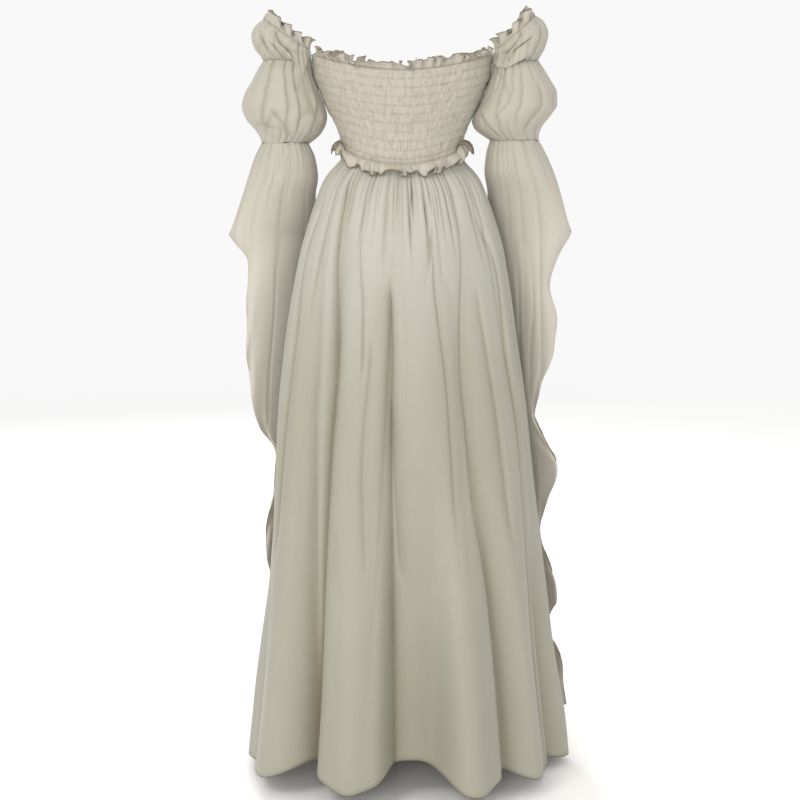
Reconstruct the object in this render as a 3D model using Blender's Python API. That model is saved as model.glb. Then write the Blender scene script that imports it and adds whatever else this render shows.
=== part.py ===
"""A long off-the-shoulder gown, worn form, with nobody in it. Metres, +Z up.

The origin is the centre of the bodice's top elastic ring. The gown's front faces -Y and its
back +Y, so the wearer's left is +X. Each cut piece of cloth is one thin wall of its own: a
surface worked out from ring and fold tables, given half the wall on either side.
"""

import bmesh
import bpy
import numpy as np

WALL = 0.0015  # thickness of every cloth wall
GAP = 0.0003  # space left at each seam

# Seam lines that run round the body: height at the back's middle, and how much the sides differ.
TOP_Z, TOP_SIDE_RISE = 0.0, 0.030
WAIST_Z, WAIST_SIDE_RISE = -0.165, 0.027
HEM_Z, HEM_SIDE_RISE = -1.217, -0.020

# Bodice rings: height, half width, half depth, centre y.
BODICE = (
    (0.030, 0.1560, 0.1000, 0.000),
    (0.000, 0.1545, 0.1000, 0.000),
    (-0.030, 0.1440, 0.0990, 0.000),
    (-0.063, 0.1300, 0.0960, 0.000),
    (-0.081, 0.1195, 0.0920, 0.000),
    (-0.098, 0.1120, 0.0880, 0.000),
    (-0.133, 0.1030, 0.0840, 0.000),
    (-0.165, 0.1030, 0.0840, 0.000),
)
ELASTIC_ROWS = 11  # elastic threads across the shirred back
SHIRR_RISE = 0.0014  # how far the cloth swells between two threads

# Skirt rings: drop below the waist seam, half width, half depth, centre y, gather height.
SKIRT = (
    (0.000, 0.1030, 0.0840, 0.000, 0.0012),
    (0.006, 0.1045, 0.0850, 0.000, 0.0012),
    (0.018, 0.1130, 0.0915, 0.000, 0.0016),
    (0.032, 0.1260, 0.1010, 0.000, 0.0022),
    (0.050, 0.1380, 0.1110, 0.001, 0.0026),
    (0.082, 0.1500, 0.1240, 0.004, 0.0028),
    (0.126, 0.1645, 0.1380, 0.007, 0.0026),
    (0.171, 0.1770, 0.1500, 0.009, 0.0022),
    (0.242, 0.1900, 0.1640, 0.012, 0.0016),
    (0.332, 0.2050, 0.1790, 0.016, 0.0010),
    (0.440, 0.2225, 0.1960, 0.020, 0.0005),
    (0.551, 0.2345, 0.2070, 0.022, 0.0002),
    (0.718, 0.2520, 0.2220, 0.025, 0.0000),
    (0.908, 0.2700, 0.2370, 0.028, 0.0000),
    (1.100, 0.2900, 0.2500, 0.030, 0.0000),
)
SKIRT_GATHERS = 40  # all round, at the waist seam
# Skirt folds: azimuth at the waist and at the hem, half width (degrees), rise at the hem, the
# drop where it begins and the drop where it is full. A negative rise is a valley.
FOLDS = (
    (12, 20, 7, -0.010, 0.20, 0.90),
    (28, 42, 13, 0.010, 0.10, 0.90),
    (40, 63, 5, -0.024, 0.02, 0.60),
    (58, 75, 7, 0.011, 0.10, 0.80),
    (84, 97, 6, -0.030, 0.10, 0.95),
    (100, 112, 7, 0.014, 0.10, 0.80),
    (112, 123, 4, -0.018, 0.05, 0.95),
    (128, 134, 6, 0.009, 0.10, 0.90),
    (140, 147, 5, -0.014, 0.05, 0.90),
    (168, 168, 8, -0.008, 0.20, 0.90),
    (212, 214, 9, -0.010, 0.15, 0.95),
    (236, 234, 8, 0.010, 0.10, 0.95),
    (254, 251, 7, -0.016, 0.10, 0.95),
    (270, 270, 8, 0.012, 0.10, 0.95),
    (286, 289, 7, -0.016, 0.10, 0.95),
    (304, 306, 8, 0.010, 0.10, 0.95),
    (328, 326, 9, -0.010, 0.15, 0.95),
)

# Ruffles of the body: height of the strip, waves on each half, wave height.
NECK_RUFFLE = (0.019, 14, 0.0058)
NECK_RUFFLE_SPAN = (19, 161)  # degrees of each half; the sleeves take up the rest
WAIST_RUFFLE = (0.024, 11, 0.0050)
WAIST_RUFFLE_START = 0.0040  # above the waist seam

# Sleeve rings, both sleeves: share of the tier's length, inner x, outer x, half depth.
BAND_1_Z = 0.0205
CAP = {
    "left": ((0.0, 0.1570, 0.2423, 0.043), (0.3, 0.1560, 0.2555, 0.052), (0.6, 0.1560, 0.2610, 0.055),
             (0.85, 0.1570, 0.2560, 0.051), (1.0, 0.1580, 0.2480, 0.045)),
    "right": ((0.0, 0.1570, 0.2380, 0.043), (0.3, 0.1560, 0.2480, 0.052), (0.6, 0.1560, 0.2535, 0.055),
              (0.85, 0.1570, 0.2520, 0.051), (1.0, 0.1580, 0.2440, 0.045)),
}
RIM_LOW = 0.036  # the cap's top edge beside the bodice
RIM_HIGH = {"left": 0.091, "right": 0.098}  # and at its outer side
CAP_RUFFLE = (0.020, 8, 0.0050, 0.012)  # height, waves, wave height, lean inwards
CAP_RUFFLE_SPAN = 140  # degrees either way from the outer side
PUFF = {
    "left": ((0.0, 0.1570, 0.2423, 0.043), (0.10, 0.1560, 0.2510, 0.056), (0.25, 0.1500, 0.2620, 0.065),
             (0.40, 0.1430, 0.2740, 0.070), (0.55, 0.1350, 0.2790, 0.072), (0.70, 0.1310, 0.2725, 0.070),
             (0.85, 0.1400, 0.2560, 0.060), (0.94, 0.1530, 0.2490, 0.049), (1.0, 0.1650, 0.2470, 0.041)),
    "right": ((0.0, 0.1570, 0.2380, 0.043), (0.10, 0.1560, 0.2470, 0.056), (0.25, 0.1500, 0.2590, 0.065),
              (0.40, 0.1430, 0.2690, 0.070), (0.55, 0.1340, 0.2700, 0.072), (0.70, 0.1225, 0.2575, 0.070),
              (0.85, 0.1285, 0.2430, 0.060), (0.94, 0.1430, 0.2400, 0.049), (1.0, 0.1560, 0.2395, 0.041)),
}
SLEEVE_GATHERS = 9  # round each tier
BAND_2_Z = {"left": -0.1207, "right": -0.1160}

# Trumpet slices: height, inner x, inner y, outer x, outer y, half thickness, half angle still closed.
TRUMPET = {
    "left": (
        (-0.1207, 0.1650, 0.000, 0.2470, 0.000, 0.0410, 180),
        (-0.1450, 0.1540, -0.002, 0.2590, 0.000, 0.0450, 180),
        (-0.1800, 0.1500, -0.012, 0.2715, -0.003, 0.0470, 180),
        (-0.2150, 0.1560, -0.036, 0.2840, -0.010, 0.0480, 180),
        (-0.2500, 0.1560, -0.062, 0.2960, -0.016, 0.0480, 180),
        (-0.2820, 0.1580, -0.082, 0.3030, -0.020, 0.0470, 180),
        (-0.3300, 0.1640, -0.094, 0.2745, -0.028, 0.0450, 165),
        (-0.4000, 0.1700, -0.106, 0.2785, -0.036, 0.0420, 150),
        (-0.4900, 0.1800, -0.118, 0.2800, -0.046, 0.0400, 140),
        (-0.5785, 0.1900, -0.128, 0.2725, -0.058, 0.0370, 130),
        (-0.6334, 0.1960, -0.133, 0.2590, -0.068, 0.0350, 125),
        (-0.6900, 0.2010, -0.138, 0.2330, -0.084, 0.0320, 120),
        (-0.7700, 0.2080, -0.142, 0.2410, -0.090, 0.0290, 118),
        (-0.8500, 0.2140, -0.148, 0.2562, -0.094, 0.0260, 115),
        (-0.9100, 0.2180, -0.152, 0.2500, -0.104, 0.0230, 110),
        (-0.9700, 0.2240, -0.156, 0.2440, -0.116, 0.0190, 105),
        (-1.0400, 0.2320, -0.158, 0.2440, -0.130, 0.0120, 100),
        (-1.0800, 0.2360, -0.158, 0.2420, -0.146, 0.0050, 95),
    ),
    "right": (
        (-0.1160, 0.1560, 0.000, 0.2395, 0.000, 0.0410, 180),
        (-0.1400, 0.1490, -0.002, 0.2530, 0.000, 0.0450, 180),
        (-0.1700, 0.1470, -0.008, 0.2670, -0.003, 0.0470, 180),
        (-0.2050, 0.1540, -0.034, 0.2800, -0.010, 0.0480, 180),
        (-0.2400, 0.1560, -0.058, 0.2900, -0.016, 0.0480, 180),
        (-0.2770, 0.1580, -0.080, 0.2960, -0.020, 0.0470, 180),
        (-0.3300, 0.1640, -0.092, 0.2743, -0.026, 0.0450, 165),
        (-0.3710, 0.1680, -0.100, 0.2645, -0.034, 0.0430, 155),
        (-0.4340, 0.1740, -0.110, 0.2776, -0.036, 0.0420, 148),
        (-0.4880, 0.1800, -0.116, 0.2750, -0.044, 0.0400, 140),
        (-0.5600, 0.1880, -0.124, 0.2510, -0.060, 0.0370, 132),
        (-0.6110, 0.1920, -0.128, 0.2430, -0.068, 0.0350, 128),
        (-0.6610, 0.1980, -0.130, 0.2630, -0.060, 0.0330, 124),
        (-0.7070, 0.2040, -0.132, 0.2853, -0.052, 0.0320, 120),
        (-0.7700, 0.2120, -0.132, 0.2680, -0.070, 0.0300, 118),
        (-0.8340, 0.2200, -0.130, 0.2585, -0.084, 0.0280, 115),
        (-0.9500, 0.2400, -0.118, 0.2880, -0.062, 0.0250, 110),
        (-1.0210, 0.2520, -0.110, 0.2740, -0.080, 0.0210, 105),
        (-1.0840, 0.2640, -0.104, 0.3000, -0.066, 0.0170, 100),
        (-1.1500, 0.2780, -0.094, 0.3080, -0.068, 0.0110, 95),
        (-1.1900, 0.2900, -0.084, 0.3110, -0.072, 0.0050, 95),
    ),
}
CORNER_Z = {"left": -0.282, "right": -0.277}  # where the slanted hem begins
TRUMPET_FOLDS = 4  # large folds down the panel

COLOURS = {
    "bodice": (0.60, 0.55, 0.45, 1.0),
    "skirt": (0.55, 0.53, 0.43, 1.0),
    "sleeve": (0.59, 0.56, 0.47, 1.0),
    "ruffle": (0.62, 0.57, 0.46, 1.0),
}


def along(rows, column, at):
    """A table's column at the given places of its first column, as a smooth curve through the rows."""
    rows = np.asarray(rows, float)
    if rows[0, 0] > rows[-1, 0]:
        rows = rows[::-1]
    x, y = rows[:, 0], rows[:, column]
    step, rise = np.diff(x), np.diff(y)
    slope = rise / step
    tangent = np.empty_like(y)
    tangent[0], tangent[-1] = slope[0], slope[-1]
    same_way = slope[1:] * slope[:-1] > 0
    mean = 2 * slope[1:] * slope[:-1] / np.where(same_way, slope[1:] + slope[:-1], 1.0)
    tangent[1:-1] = np.where(same_way, mean, 0.0)
    at = np.clip(at, x[0], x[-1])
    i = np.clip(np.searchsorted(x, at, side="right") - 1, 0, len(x) - 2)
    u = (at - x[i]) / step[i]
    return ((2 * u**3 - 3 * u**2 + 1) * y[i] + (u**3 - 2 * u**2 + u) * step[i] * tangent[i]
            + (3 * u**2 - 2 * u**3) * y[i + 1] + (u**3 - u**2) * step[i] * tangent[i + 1])


def eased(x, start, end):
    u = np.clip((x - start) / (end - start), 0, 1)
    return u * u * (3 - 2 * u)


def top_z(azimuth):
    return TOP_Z + TOP_SIDE_RISE * np.cos(azimuth) ** 2


def waist_z(azimuth):
    return WAIST_Z + WAIST_SIDE_RISE * np.cos(azimuth) ** 2


def hem_z(azimuth):
    return HEM_Z + HEM_SIDE_RISE * np.cos(azimuth) ** 2


def bodice_ring(azimuth, z):
    return np.stack([along(BODICE, 1, z) * np.cos(azimuth),
                     along(BODICE, 3, z) + along(BODICE, 2, z) * np.sin(azimuth), z], -1)


def bodice_at(azimuth, share):
    """A point of the bodice: share 0 on the waist seam, 1 on the top elastic."""
    return bodice_ring(azimuth, waist_z(azimuth) + (top_z(azimuth) - waist_z(azimuth)) * share)


def fold_rise(azimuth, drop):
    degrees = np.degrees(azimuth) % 360
    total = np.zeros_like(degrees)
    for top, hem, width, rise, begins, full in FOLDS:
        middle = top + (hem - top) * eased(drop, 0.0, 1.0)
        off = (degrees - middle + 180) % 360 - 180
        total += rise * eased(drop, begins, full) * np.exp(-((off / width) ** 2))
    return total


def skirt_at(azimuth, share):
    """A point of the skirt: share 0 just under the waist seam, 1 on the hem."""
    z = waist_z(azimuth) - GAP + (hem_z(azimuth) - waist_z(azimuth) + GAP) * share
    drop = waist_z(azimuth) - GAP - z
    gather = along(SKIRT, 4, drop) * np.cos(SKIRT_GATHERS * azimuth)
    rise = gather + fold_rise(azimuth, drop)
    wide, deep = along(SKIRT, 1, drop), along(SKIRT, 2, drop)
    return np.stack([(wide + rise) * np.cos(azimuth),
                     along(SKIRT, 3, drop) + (deep + rise) * np.sin(azimuth), z], -1)


def neck_ruffle_at(azimuth, share):
    height, waves, size = NECK_RUFFLE
    start, end = np.radians(NECK_RUFFLE_SPAN)
    across = (azimuth % np.pi - start) / (end - start)
    wave = size * (0.15 + 0.85 * share) * np.sin(2 * np.pi * waves * across)
    foot = bodice_ring(azimuth, top_z(azimuth))
    out = np.stack([np.cos(azimuth), np.sin(azimuth), 0 * azimuth], -1)
    up = GAP + height * share * (1 - 0.12 * np.cos(4 * np.pi * waves * across))
    point = foot + out * (wave + 0.002 * share)[..., None]
    point[..., 2] = foot[..., 2] + up
    return point


def waist_ruffle_at(azimuth, share):
    height, waves, size = WAIST_RUFFLE
    wave = size * np.abs(share) ** 1.2 * np.sin(2 * np.pi * waves * (azimuth % np.pi) / np.pi)
    foot = bodice_ring(azimuth, waist_z(azimuth))
    out = np.stack([np.cos(azimuth), np.sin(azimuth), 0 * azimuth], -1)
    flare = WALL + GAP + 0.0009 + 0.62 * height * np.abs(share) ** 1.5 + 0.6 * wave
    point = foot + out * flare[..., None]
    point[..., 2] = foot[..., 2] + WAIST_RUFFLE_START - 0.75 * height * share + 0.7 * wave
    return point


def ring_point(turn, inner, outer, deep, swell):
    """A point of a sleeve ring: turn 0 is its outer side, half a turn its inner side."""
    middle, wide = (inner + outer) / 2, (outer - inner) / 2
    return middle + (wide + swell) * np.cos(turn), (deep + swell) * np.sin(turn)


def beside_bodice(x, y, z):
    """x moved out, where needed, so that the sleeve's inner side lies along the bodice's side seam."""
    deep, wide = along(BODICE, 2, z), along(BODICE, 1, z)
    reach = np.sqrt(np.clip(1 - ((y - along(BODICE, 3, z)) / deep) ** 2, 0.01, 1))
    least = wide * reach + WALL + GAP + SHIRR_RISE + 0.0006
    least = np.where(z < -0.09, least - 0.03 * eased(-z, 0.09, 0.12), least)
    return (x + least + np.sqrt((x - least) ** 2 + 0.0008**2)) / 2


def cap_at(side, turn, share):
    rows = CAP[side]
    rim = (RIM_LOW + RIM_HIGH[side]) / 2 + (RIM_HIGH[side] - RIM_LOW) / 2 * np.cos(turn)
    z = BAND_1_Z + GAP / 2 + (rim - BAND_1_Z - GAP / 2) * share
    swell = (0.0012 + 0.0012 * np.sin(np.pi * np.clip(share, 0, 1))) * np.cos(SLEEVE_GATHERS * turn)
    x, y = ring_point(turn, along(rows, 1, share), along(rows, 2, share), along(rows, 3, share), swell)
    return np.stack([beside_bodice(x, y, z), y, z], -1)


def cap_ruffle_at(side, turn, share):
    height, waves, size, lean = CAP_RUFFLE
    foot = cap_at(side, turn, np.ones_like(share))
    span = np.radians(CAP_RUFFLE_SPAN)
    wave = size * (0.15 + 0.85 * share) * np.sin(np.pi * waves * (turn / span + 1))
    out = np.stack([np.cos(turn), np.sin(turn), 0 * turn], -1)
    inwards = lean * np.abs(share) ** 1.5 * (0.35 + 0.65 * np.cos(turn / 2) ** 2)
    point = foot + out * (wave - inwards)[..., None]
    point[..., 2] = foot[..., 2] + GAP + height * share * (1 - 0.12 * np.cos(2 * np.pi * waves * turn / span))
    return point


def puff_at(side, turn, share):
    rows = PUFF[side]
    top, bottom = BAND_1_Z - GAP / 2, BAND_2_Z[side] + GAP / 2
    z = top + (bottom - top) * share
    fold = 0.5 + 0.5 * np.cos(2 * turn + 0.6)
    swell = (0.0012 + 0.0016 * np.sin(np.pi * np.clip(share, 0, 1)) * fold) * np.cos(SLEEVE_GATHERS * turn)
    x, y = ring_point(turn, along(rows, 1, share), along(rows, 2, share), along(rows, 3, share), swell)
    return np.stack([beside_bodice(x, y, z), y, z], -1)


def trumpet_at(side, string, share):
    """A point of the trumpet tier. String runs -1..1 round the tube from the short outer corner
    over the long inner string and back; below the corner each slice is an open curve."""
    rows = TRUMPET[side]
    string = (string + 1) % 2 - 1
    top, tip = rows[0][0] - GAP / 2, rows[-1][0]
    short, long = top - CORNER_Z[side], top - tip
    drop = (short + (long - short) * (1 - np.abs(string))) * share
    z = top - drop
    left = np.clip(1 - (drop - short) / (long - short), 0.02, 1)
    half = np.radians(along(rows, 6, z))
    angle = half * np.clip(string / left, -1.02, 1.02)
    k = (1 - np.cos(angle)) / (1 - np.cos(half))
    inner_x, inner_y = along(rows, 1, z), along(rows, 2, z)
    outer_x, outer_y = along(rows, 3, z), along(rows, 4, z)
    x = inner_x + (outer_x - inner_x) * k
    y = inner_y + (outer_y - inner_y) * k - along(rows, 5, z) * np.sin(angle)
    middle_x, middle_y = (inner_x + outer_x) / 2, (inner_y + outer_y) / 2
    fine = 0.030 * (1 - 0.7 * eased(drop, 0.05, 0.40)) * np.cos(SLEEVE_GATHERS * np.pi * string)
    large = 0.085 * eased(drop, 0.02, 0.25) * np.cos(TRUMPET_FOLDS * np.pi * string + 0.9)
    grow = 1 + fine + large * (1 - 0.6 * eased(np.abs(angle), 1.2, 3.1))
    return np.stack([middle_x + (x - middle_x) * grow, middle_y + (y - middle_y) * grow, z], -1)


def unit_normals(form, s, t):
    step = 1e-4
    across = form(s + step, t) - form(s - step, t)
    down = form(s, t + step) - form(s, t - step)
    normal = np.cross(across, down)
    return normal / np.linalg.norm(normal, axis=-1, keepdims=True)


def wall_rows(form, s, shares, level, side_out, raised=None):
    """Rows of outer and inner wall points. Level names the rows whose wall is kept horizontal."""
    outer, inner = [], []
    for i, (columns, share) in enumerate(zip(s, shares)):
        t = np.full_like(columns, share)
        middle, normal = form(columns, t), unit_normals(form, columns, t) * side_out
        if i in level:
            normal[:, 2] = 0
            normal /= np.linalg.norm(normal, axis=-1, keepdims=True)
        more = 0.0 if raised is None else raised[i]
        outer.append(middle + normal * (WALL / 2 + more))
        inner.append(middle - normal * WALL / 2)
    return outer, inner


def strip(a, b):
    """Triangles between two rows of point numbers, walking along both by share of their length."""
    faces, i, j = [], 0, 0
    m, n = len(a) - 1, len(b) - 1
    while i < m or j < n:
        if j == n or (i < m and (i + 1) * n <= (j + 1) * m):
            faces.append((a[i], a[i + 1], b[j]))
            i += 1
        else:
            faces.append((a[i], b[j + 1], b[j]))
            j += 1
    return faces


def cloth(name, outer, inner, ring, colour):
    """One closed wall between the outer and the inner rows; a ring's rows close on themselves."""
    points, numbers = [], []
    for rows in (outer, inner):
        grid = []
        for row in rows:
            first = len(points)
            points.extend(row)
            ids = list(range(first, first + len(row)))
            grid.append(ids + ids[:1] if ring else ids)
        numbers.append(grid)
    faces = []
    for grid in numbers:
        for a, b in zip(grid, grid[1:]):
            faces += strip(a, b)
    out, within = numbers
    faces += strip(out[0], within[0]) + strip(out[-1], within[-1])
    if not ring:
        faces += strip([r[0] for r in out], [r[0] for r in within])
        faces += strip([r[-1] for r in out], [r[-1] for r in within])
    mesh = bpy.data.meshes.new(name)
    bm = bmesh.new()
    corners = [bm.verts.new(p) for p in points]
    for face in faces:
        bm.faces.new([corners[i] for i in face])
    bmesh.ops.recalc_face_normals(bm, faces=bm.faces)
    if bm.calc_volume(signed=True) < 0:
        bmesh.ops.reverse_faces(bm, faces=bm.faces)
    bm.to_mesh(mesh)
    bm.free()
    mesh.materials.append(material(name, colour))
    obj = bpy.data.objects.new(name, mesh)
    bpy.context.scene.collection.objects.link(obj)
    return obj


def material(name, colour):
    made = bpy.data.materials.new(name + "_cloth")
    made.use_nodes = True
    made.diffuse_color = COLOURS[colour]
    shader = made.node_tree.nodes["Principled BSDF"]
    shader.inputs["Base Color"].default_value = COLOURS[colour]
    shader.inputs["Roughness"].default_value = 0.9
    return made


def mirrored(form, side):
    """The sleeve's form on its own side: the right one is turned over in x."""
    def made(s, t):
        point = form(side, s, t)
        return point * (1.0 if side == "left" else -1.0, 1.0, 1.0)
    return made


def panel_azimuths(half, count, span=(0.0, 180.0)):
    """Azimuths across the back (half 0) or the front (half 1), held off the side seams."""
    off = GAP / 2 / 0.09
    start, end = np.radians(span[0]) + off, np.radians(span[1]) - off
    return half * np.pi + np.linspace(start, end, count + 1)


def build_bodice(name, half):
    columns = 20
    ends = panel_azimuths(half, columns)
    if half == 0:
        shares = np.linspace(0, 1, 2 * ELASTIC_ROWS + 1)
        raised = [0.0 if i % 2 == 0 else SHIRR_RISE for i in range(len(shares))]
    else:
        shares, raised = np.linspace(0, 1, 7), None
    level = (0, len(shares) - 1)
    outer, _ = wall_rows(bodice_at, [ends] * len(shares), shares, level, 1, raised)
    plain = np.linspace(0, 1, 6)
    _, inner = wall_rows(bodice_at, [ends] * 6, plain, (0, 5), 1)
    cloth(name, outer, inner, False, "bodice")


def build_skirt(name, half):
    drops = np.array([0.0, 0.018, 0.050, 0.100, 0.171, 0.26, 0.37, 0.48, 0.60, 0.72, 0.83, 0.93, 1.052])
    shares = drops / drops[-1]
    counts = [80, 80, 80, 80] + [40] * 9
    columns = [panel_azimuths(half, n) for n in counts]
    outer, inner = wall_rows(skirt_at, columns, shares, (0,), -1)
    cloth(name, outer, inner, False, "skirt")


def build_body_ruffles(name, half, form, waves, span, side_out):
    columns = panel_azimuths(half, 4 * waves, span)
    outer, inner = wall_rows(form, [columns] * 3, (0.0, 0.5, 1.0), (0,), side_out)
    cloth(name, outer, inner, False, "ruffle")


def build_tier(name, form, columns, shares, level, side_out):
    outer, inner = wall_rows(form, [columns] * len(shares), shares, level, side_out)
    cloth(name, outer, inner, True, "sleeve")


def build_sleeve(side):
    hand = 1 if side == "left" else -1
    turns = np.arange(4 * SLEEVE_GATHERS) * 2 * np.pi / (4 * SLEEVE_GATHERS)
    shares = np.linspace(0, 1, 5)
    build_tier("sleeve_cap_" + side, mirrored(cap_at, side), turns, shares, (0, 4), hand)
    shares = np.array([0.0, 0.10, 0.25, 0.42, 0.60, 0.78, 0.92, 1.0])
    build_tier("sleeve_puff_" + side, mirrored(puff_at, side), turns, shares, (0, 7), -hand)
    strings = -1 + np.arange(4 * SLEEVE_GATHERS) / (2 * SLEEVE_GATHERS)
    shares = np.array([0.0, 0.05, 0.12, 0.20, 0.29, 0.39, 0.50, 0.62, 0.75, 0.88, 1.0])
    build_tier("sleeve_trumpet_" + side, mirrored(trumpet_at, side), strings, shares, (0,), hand)
    span = np.radians(CAP_RUFFLE_SPAN)
    turns = np.linspace(-span, span, 4 * CAP_RUFFLE[1] + 1)
    outer, inner = wall_rows(mirrored(cap_ruffle_at, side), [turns] * 3, (0.0, 0.5, 1.0), (0,), hand)
    cloth("cap_ruffle_" + side, outer, inner, False, "ruffle")


def main():
    for obj in list(bpy.data.objects):
        bpy.data.objects.remove(obj, do_unlink=True)
    for half, end in enumerate(("back", "front")):
        build_bodice("bodice_" + end, half)
        build_skirt("skirt_" + end, half)
        build_body_ruffles("neck_ruffle_" + end, half, neck_ruffle_at, NECK_RUFFLE[1],
                           NECK_RUFFLE_SPAN, 1)
        build_body_ruffles("waist_ruffle_" + end, half, waist_ruffle_at, WAIST_RUFFLE[1],
                           (0.0, 180.0), -1)
    build_sleeve("left")
    build_sleeve("right")


main()
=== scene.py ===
"""A long off-the-shoulder gown in ivory cotton: cloth surfaces, finishes, floor, light and camera.

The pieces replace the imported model's plain walls one by one and lie where those lie. Every cloth
surface is a function of two parameters, worked out on a grid with numpy from ring and fold tables.
"""

from math import pi, radians

import bpy
import numpy as np
from bpy.props import FloatProperty, IntProperty, PointerProperty, StringProperty
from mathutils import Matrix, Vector


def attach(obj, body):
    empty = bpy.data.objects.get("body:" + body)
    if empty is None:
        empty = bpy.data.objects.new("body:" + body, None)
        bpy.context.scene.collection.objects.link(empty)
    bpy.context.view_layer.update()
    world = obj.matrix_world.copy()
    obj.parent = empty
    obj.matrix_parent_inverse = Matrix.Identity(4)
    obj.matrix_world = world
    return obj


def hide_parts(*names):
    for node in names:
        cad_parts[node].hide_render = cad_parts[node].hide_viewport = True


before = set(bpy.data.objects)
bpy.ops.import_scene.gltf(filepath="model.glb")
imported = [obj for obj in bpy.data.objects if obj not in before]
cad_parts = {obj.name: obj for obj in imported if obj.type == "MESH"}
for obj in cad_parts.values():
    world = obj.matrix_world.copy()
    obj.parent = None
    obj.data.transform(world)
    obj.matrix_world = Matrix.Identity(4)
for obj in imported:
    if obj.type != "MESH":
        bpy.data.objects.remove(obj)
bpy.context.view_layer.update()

bl_info = {
    "name": "Off-the-shoulder gown",
    "version": (1, 0, 0),
    "blender": (4, 5, 0),
    "location": "View3D > Sidebar > Gown",
    "description": "Builds the cloth, finishes and studio of a long gathered gown",
    "category": "Add Mesh",
}

SEAM_GAP = 0.0003  # space between two pieces at a seam, in metres
WALL = 0.0015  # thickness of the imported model's walls, in metres

# The camera stands behind the gown, 2.8 m off and looking a little down; 800 pixels a side.
CAMERA_PLACE = (0.0036, 2.8, -0.160)
CAMERA_DIP = radians(8.5)
FOCAL_PIXELS, FRAME_PIXELS, SENSOR_MM = 1568.6, 800, 36
FLOOR_RADIUS, FLOOR_CLEARANCE = 30.0, 0.012
SWEEP_START, SWEEP_END = 1.2, 6.0  # metres out: where the floor begins to turn into the wall, and ends
WORLD_LIGHT, ZENITH_LIGHT = 0.95, 1.03  # at the horizon, and how much brighter overhead
# Lights: name, place, aim, width, watts, colour. The key stands high on the camera's side.
LIGHTS = (
    ("Key", (1.5, 2.4, 1.5), (0, 0, -0.2), 1.1, 34.0, (1.0, 0.985, 0.955)),
    ("Fill", (-2.8, 1.6, 0.4), (0, 0, -0.5), 2.4, 6.5, (0.97, 0.985, 1.0)),
    ("Far side", (0.9, -3.2, 1.0), (0, 0, -0.5), 1.6, 70.0, (1.0, 0.995, 0.985)),
    ("Camera side", (0.3, 3.3, 0.1), (0, 0, -0.55), 1.4, 35.0, (1.0, 0.995, 0.985)),
)
HEM_DEPTH, HEM_LIFT = 0.9, 0.38  # how much deeper folds go near the hem, and how the hem lifts in them

# Grid of each form: points across and down. The skirt's rows lie closer together near the waist.
GRIDS = {
    "bodice_back": (340, 133), "bodice_front": (120, 50), "skirt_back": (380, 125),
    "skirt_front": (250, 105), "neck_ruffle": (480, 13), "waist_ruffle": (420, 14),
    "sleeve_cap": (170, 42), "cap_ruffle": (260, 13), "sleeve_puff": (250, 70),
    "sleeve_trumpet": (180, 120),
}
SKIRT_ROW_POWER = 1.35
# First seed of the random draws: of the back and the front, or of the left and the right.
SEEDS = {"neck": (41, 44), "waist": (51, 54), "cap": (61, 161), "cap_ruffle": (71, 171), "puff": (81, 181),
         "trumpet": (91, 191), "elastic": (201, 200)}
# Loose folds: seed, how many all round, half width in turns, reach in metres, shortest share of it.
SKIRT_SHORT_FOLDS, SKIRT_LONG_FOLDS = (31, 92, 0.0036, 0.20, 0.2), (32, 34, 0.0080, 0.50, 0.2)
SKIRT_FAR_FOLDS = (33, 11, 0.0200, 1.25, 0.5)
TIER_FOLDS = (0.012, 0.10, 0.2)  # half width, reach, shortest
TRUMPET_FINE_FOLDS, TRUMPET_MORE_GATHERS = (0.0075, 0.16, 0.2), 6
TRUMPET_LONG_FOLDS = (9, 0.026, 1.1, 0.2)  # how many, half width, reach, shortest
SEAM_LINE = 0.0018  # half width of the pressed line along a side seam, in metres
ELASTIC_STRAY = 0.0016  # how far an arm elastic strays up and down, in metres
HEM_FLUTTER, FLUTTER_REACH = 0.0045, 0.05  # of the trumpet's free edge, in metres
CORNER_POINT, CORNER_REACH = 0.007, 0.016  # how the trumpet's short corner stands out, in metres
# Painted light down the body: the skirt's tone darkens towards the hem as painted shade, where the lamps'
# light falls off; the sleeves' tone turns paler below the elbow as painted light, against the shade the
# skirt casts on the trumpets.
SLEEVE_LIGHT_Z, SKIRT_SHADE_Z = (-0.12, -0.30), (-0.22, -0.58)  # where the upper tone turns into the lower

# Slubs a metre round and down, of the weft and the warp; how far they stand out; and the fuzz's sheen.
WEFT_SLUBS, WARP_SLUBS, SLUB_RELIEF = (40, 620, 1), (620, 26, 1), 0.0003
COTTON_ROUGHNESS, FUZZ, FUZZ_ROUGHNESS = 0.88, 0.12, 0.5

# Seam lines that run round the body: height at the back's middle, and how much the sides differ.
TOP_Z, TOP_SIDE_RISE = 0.0, 0.03
WAIST_Z, WAIST_SIDE_RISE = -0.165, 0.027
HEM_Z, HEM_SIDE_RISE = -1.217, -0.02

# Bodice rings: height, half width, half depth.
BODICE = (
    (0.03, 0.156, 0.1), (0.0, 0.1545, 0.1), (-0.03, 0.144, 0.099), (-0.063, 0.13, 0.096),
    (-0.081, 0.1195, 0.092), (-0.098, 0.112, 0.088), (-0.133, 0.103, 0.084), (-0.165, 0.103, 0.084),
)
ELASTIC_ROWS = 11  # elastic threads across the shirred back
SHIRR_RISE = 0.0014  # how far the cloth swells between two threads

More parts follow.
